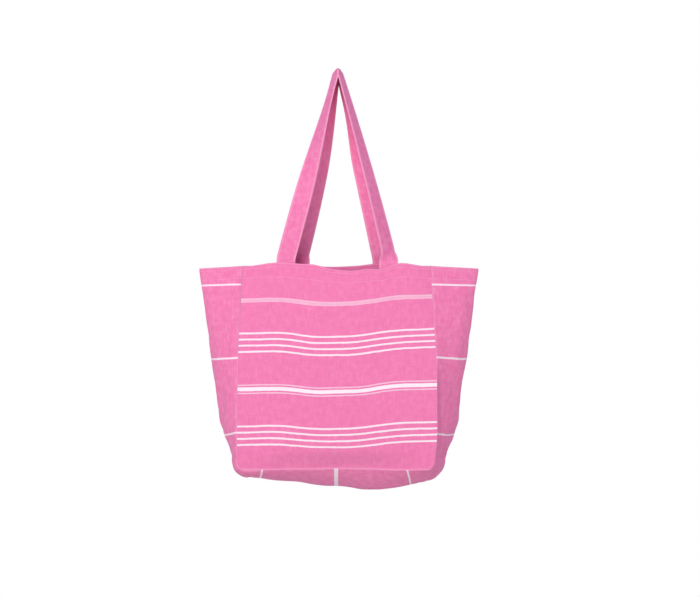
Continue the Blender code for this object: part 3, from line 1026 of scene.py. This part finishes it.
# The woven white stripes: place on the cut cloth, half width, strength
FAINT_STRIPES = [(-0.0583, 0.0015, 0.44), (-0.0606, 0.0007, 0.30), (-0.0627, 0.0015, 0.38)]
GROUPS = (0.1347, 0.2960)   # the middles of the two groups of four lines, below the hem
GROUP_PITCH = 0.0108
LINE_HALF = 0.0016
BROAD = 0.2158              # the broad stripe, below the hem, with a fine line on each side
FINE_OFFSET = 0.0070
CROSS_PITCH = 0.130         # between the cross lines of the gusset, counted from its middle
STRIPE_SKEW = 0.0234        # the panels are cut a little off the thread


def panel_stripes():
    stripes = list(FAINT_STRIPES)
    for centre in GROUPS:
        for i in range(4):
            stripes.append((-centre - (i - 1.5) * GROUP_PITCH, LINE_HALF, 0.86))
    stripes.append((-BROAD, 0.0032, 0.92))
    for offset in (-FINE_OFFSET, FINE_OFFSET):
        stripes.append((-BROAD + offset, 0.0011, 0.50))
    return stripes


def gusset_stripes():
    return [(STRIP_LENGTH / 2.0 + i * CROSS_PITCH, 0.0017, 0.82) for i in range(-4, 5)]


# ---- the camera, the light and the surroundings ----

CAMERA_PLACE = (0.0216, -2.45, -0.413)
CAMERA_LENS = 70.0
FLOOR_TONES = (0.74, 0.83, 0.70, 1.0), (0.78, 0.87, 0.73, 1.0)
FLOOR_FADE = (0.7, 1.5)     # between these distances the floor turns into the white surroundings
FLOOR_Z = -1.30
AMBIENT = 0.66              # the soft light from the front, from above and from behind
AMBIENT_SIDES = 0.22        # and from the left and the right, where it is held back
AMBIENT_TINT = (1.0, 0.87, 1.14, 1.0)
KEY_POWER = 60.0
KEY_PLACE = (-0.78, -2.92, 0.90)
KEY_COLOUR = (0.97, 1.0, 0.96)
RIM_POWER = 9.0
RIM_PLACE = (2.00, 1.90, -0.20)
RIM_COLOUR = (1.0, 0.80, 1.0)
KEY_SIZE = 1.4
RIM_SIZE = 0.9


def make_camera():
    camera = bpy.data.objects.new("camera", bpy.data.cameras.new("camera"))
    camera.data.lens = CAMERA_LENS
    camera.data.sensor_width = 36.0
    camera.location = CAMERA_PLACE
    camera.rotation_euler = (math.pi / 2.0, 0.0, 0.0)
    bpy.context.scene.collection.objects.link(camera)
    bpy.context.scene.camera = camera


def make_light(name, place, target, size, power, colour):
    data = bpy.data.lights.new(name, "AREA")
    data.color = colour
    data.shape = "DISK"
    data.size = size
    data.energy = power
    light = bpy.data.objects.new(name, data)
    light.location = place
    light.rotation_euler = (Vector(target) - Vector(place)).to_track_quat("-Z", "Y").to_euler()
    bpy.context.scene.collection.objects.link(light)


def make_floor():
    """A wide pale floor, well below the hanging bag, that runs out into the white surroundings."""
    bpy.ops.mesh.primitive_plane_add(size=30.0, location=(0.0, 0.0, FLOOR_Z))
    floor = bpy.context.object
    floor.name = "floor"
    shader = Shader("pale_floor")
    place = shader.node("ShaderNodeTexCoord").outputs["Object"]
    grain = shader.noise(place, 3.0)
    tone = shader.colour(shader.between(grain, 0.3, 0.7), *FLOOR_TONES)
    shader.wire(tone, shader.surface.inputs["Base Color"])
    shader.surface.inputs["Roughness"].default_value = 0.9
    glow = shader.node("ShaderNodeEmission", {"Color": (1.0, 1.0, 1.0, 1.0), "Strength": 1.0})
    distance = shader.node("ShaderNodeVectorMath", {0: place}, operation="LENGTH").outputs["Value"]
    near_fade, far_fade = FLOOR_FADE
    far = shader.node("ShaderNodeMapRange", {0: distance, 1: near_fade, 2: far_fade},
                      interpolation_type="SMOOTHSTEP")
    blend = shader.node("ShaderNodeMixShader", {0: far.outputs[0]})
    shader.wire(shader.surface.outputs[0], blend.inputs[1])
    shader.wire(glow.outputs[0], blend.inputs[2])
    shader.wire(blend.outputs[0], shader.tree.nodes["Material Output"].inputs["Surface"])
    floor.data.materials.append(shader.material)


def make_world():
    """Soft light from all sides, seen as plain white behind the bag."""
    world = bpy.data.worlds.new("studio")
    world.use_nodes = True
    tree = world.node_tree
    soft = tree.nodes["Background"]
    soft.inputs["Color"].default_value = AMBIENT_TINT
    direction = tree.nodes.new("ShaderNodeTexCoord")
    parts = tree.nodes.new("ShaderNodeSeparateXYZ")
    sideways = tree.nodes.new("ShaderNodeMath")
    sideways.operation = "ABSOLUTE"
    strength = tree.nodes.new("ShaderNodeMapRange")
    for socket, value in zip(strength.inputs[1:5], (0.0, 1.0, AMBIENT, AMBIENT_SIDES)):
        socket.default_value = value
    tree.links.new(direction.outputs["Generated"], parts.inputs[0])
    tree.links.new(parts.outputs[0], sideways.inputs[0])
    tree.links.new(sideways.outputs[0], strength.inputs[0])
    tree.links.new(strength.outputs[0], soft.inputs["Strength"])
    white = tree.nodes.new("ShaderNodeBackground")
    white.inputs["Color"].default_value = (1.0, 1.0, 1.0, 1.0)
    white.inputs["Strength"].default_value = 1.0
    seen = tree.nodes.new("ShaderNodeLightPath")
    either = tree.nodes.new("ShaderNodeMixShader")
    tree.links.new(seen.outputs["Is Camera Ray"], either.inputs[0])
    tree.links.new(soft.outputs[0], either.inputs[1])
    tree.links.new(white.outputs[0], either.inputs[2])
    tree.links.new(either.outputs[0], tree.nodes["World Output"].inputs["Surface"])
    bpy.context.scene.world = world


def make_surroundings():
    bpy.context.scene.view_settings.view_transform = "Standard"
    make_world()
    bag_middle = (0.0, 0.0, (HEM_Z + BASE_Z) / 2.0)
    make_light("key", KEY_PLACE, bag_middle, KEY_SIZE, KEY_POWER, KEY_COLOUR)
    make_light("rim", RIM_PLACE, bag_middle, RIM_SIZE, RIM_POWER, RIM_COLOUR)
    make_floor()


# ---- putting it together ----

def dress(piece, slot, *nodes):
    if nodes:
        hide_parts(*nodes)


def build_shell():
    # painted highlight, a lighter line along the hem's top edge; the panels also get one along the base seam
    edge = [(1, 0.0, 0.0022)]
    stripes = panel_stripes()
    panel_highlight_edges = edge + [(1, BASE_Z - SIDE_HEM_Z, 0.0030)]
    striped = woven_cloth("striped_cloth", stripes, along=1, skew=STRIPE_SKEW, highlit_edges=panel_highlight_edges)
    # painted highlights along the gusset's two ends at the mouth and along its two seams
    strip_highlight_edges = [(0, 0.0, 0.0022), (0, STRIP_LENGTH, 0.0022),
                   (1, -GUSSET_WIDTH / 2.0, 0.0020), (1, GUSSET_WIDTH / 2.0, 0.0020)]
    banded = woven_cloth("band_cloth", gusset_stripes(), along=0, highlit_edges=strip_highlight_edges,
                         uneven=1.35, upright=0.25)
    plain = woven_cloth("facing_cloth", highlit_edges=edge)
    tape = woven_cloth("binding_tape")

    front = make_panel("front_panel_cloth", FRONT, striped)
    back = make_panel("back_panel_cloth", BACK, striped)
    gusset = make_gusset(banded)
    facing = make_facing(plain)
    tapes = [make_tape("front_seam_tape", FRONT, tape), make_tape("back_seam_tape", BACK, tape)]

    dress(front, "striped_cloth", "front_panel")
    dress(back, "striped_cloth", "back_panel")
    dress(gusset, "band_cloth", "gusset_band")
    dress(facing, "facing_cloth", "mouth_facing")
    dress(tapes[0], "binding_tape", "front_seam_binding")
    dress(tapes[1], "binding_tape", "back_seam_binding")
    for piece in (front, back, gusset, facing, *tapes):
        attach(piece, "bag")


def build_handles():
    # painted highlight along both edges of each strap
    strap_highlight_edges = [(0, -STRAP_WIDTH / 2.0, 0.0045), (0, STRAP_WIDTH / 2.0, 0.0045)]
    webbing = woven_cloth("strap_cloth", highlit_edges=strap_highlight_edges, uneven=1.6)
    # the thread's own tone, then the painted shade of the grooves in its twist
    pink_thread = thread("pink_thread", (0.95, 0.56, 0.73, 1.0), (0.86, 0.34, 0.55, 1.0))
    for side, body in ((FRONT, "front_handle"), (BACK, "back_handle")):
        strap = make_handle(body + "_strap", side, webbing)
        dress(strap, "strap_cloth", body, body + "_left_end", body + "_right_end")
        stitching = make_stitching(body + "_stitching", handle_lines(side), pink_thread)
        dress(stitching, "strap_cloth")
        for piece in (strap, stitching):
            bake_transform(piece)
        length = float(np.sum(np.linalg.norm(np.diff(handle_path(side)[0], axis=0), axis=1)))
    hem = make_stitching("hem_stitching", hem_lines(), pink_thread)
    inside = make_stitching("facing_stitching", facing_lines(), pink_thread)
    for piece in (hem, inside):
        dress(piece, "facing_cloth")
        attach(piece, "bag")


make_camera()
make_surroundings()
build_shell()
build_handles()
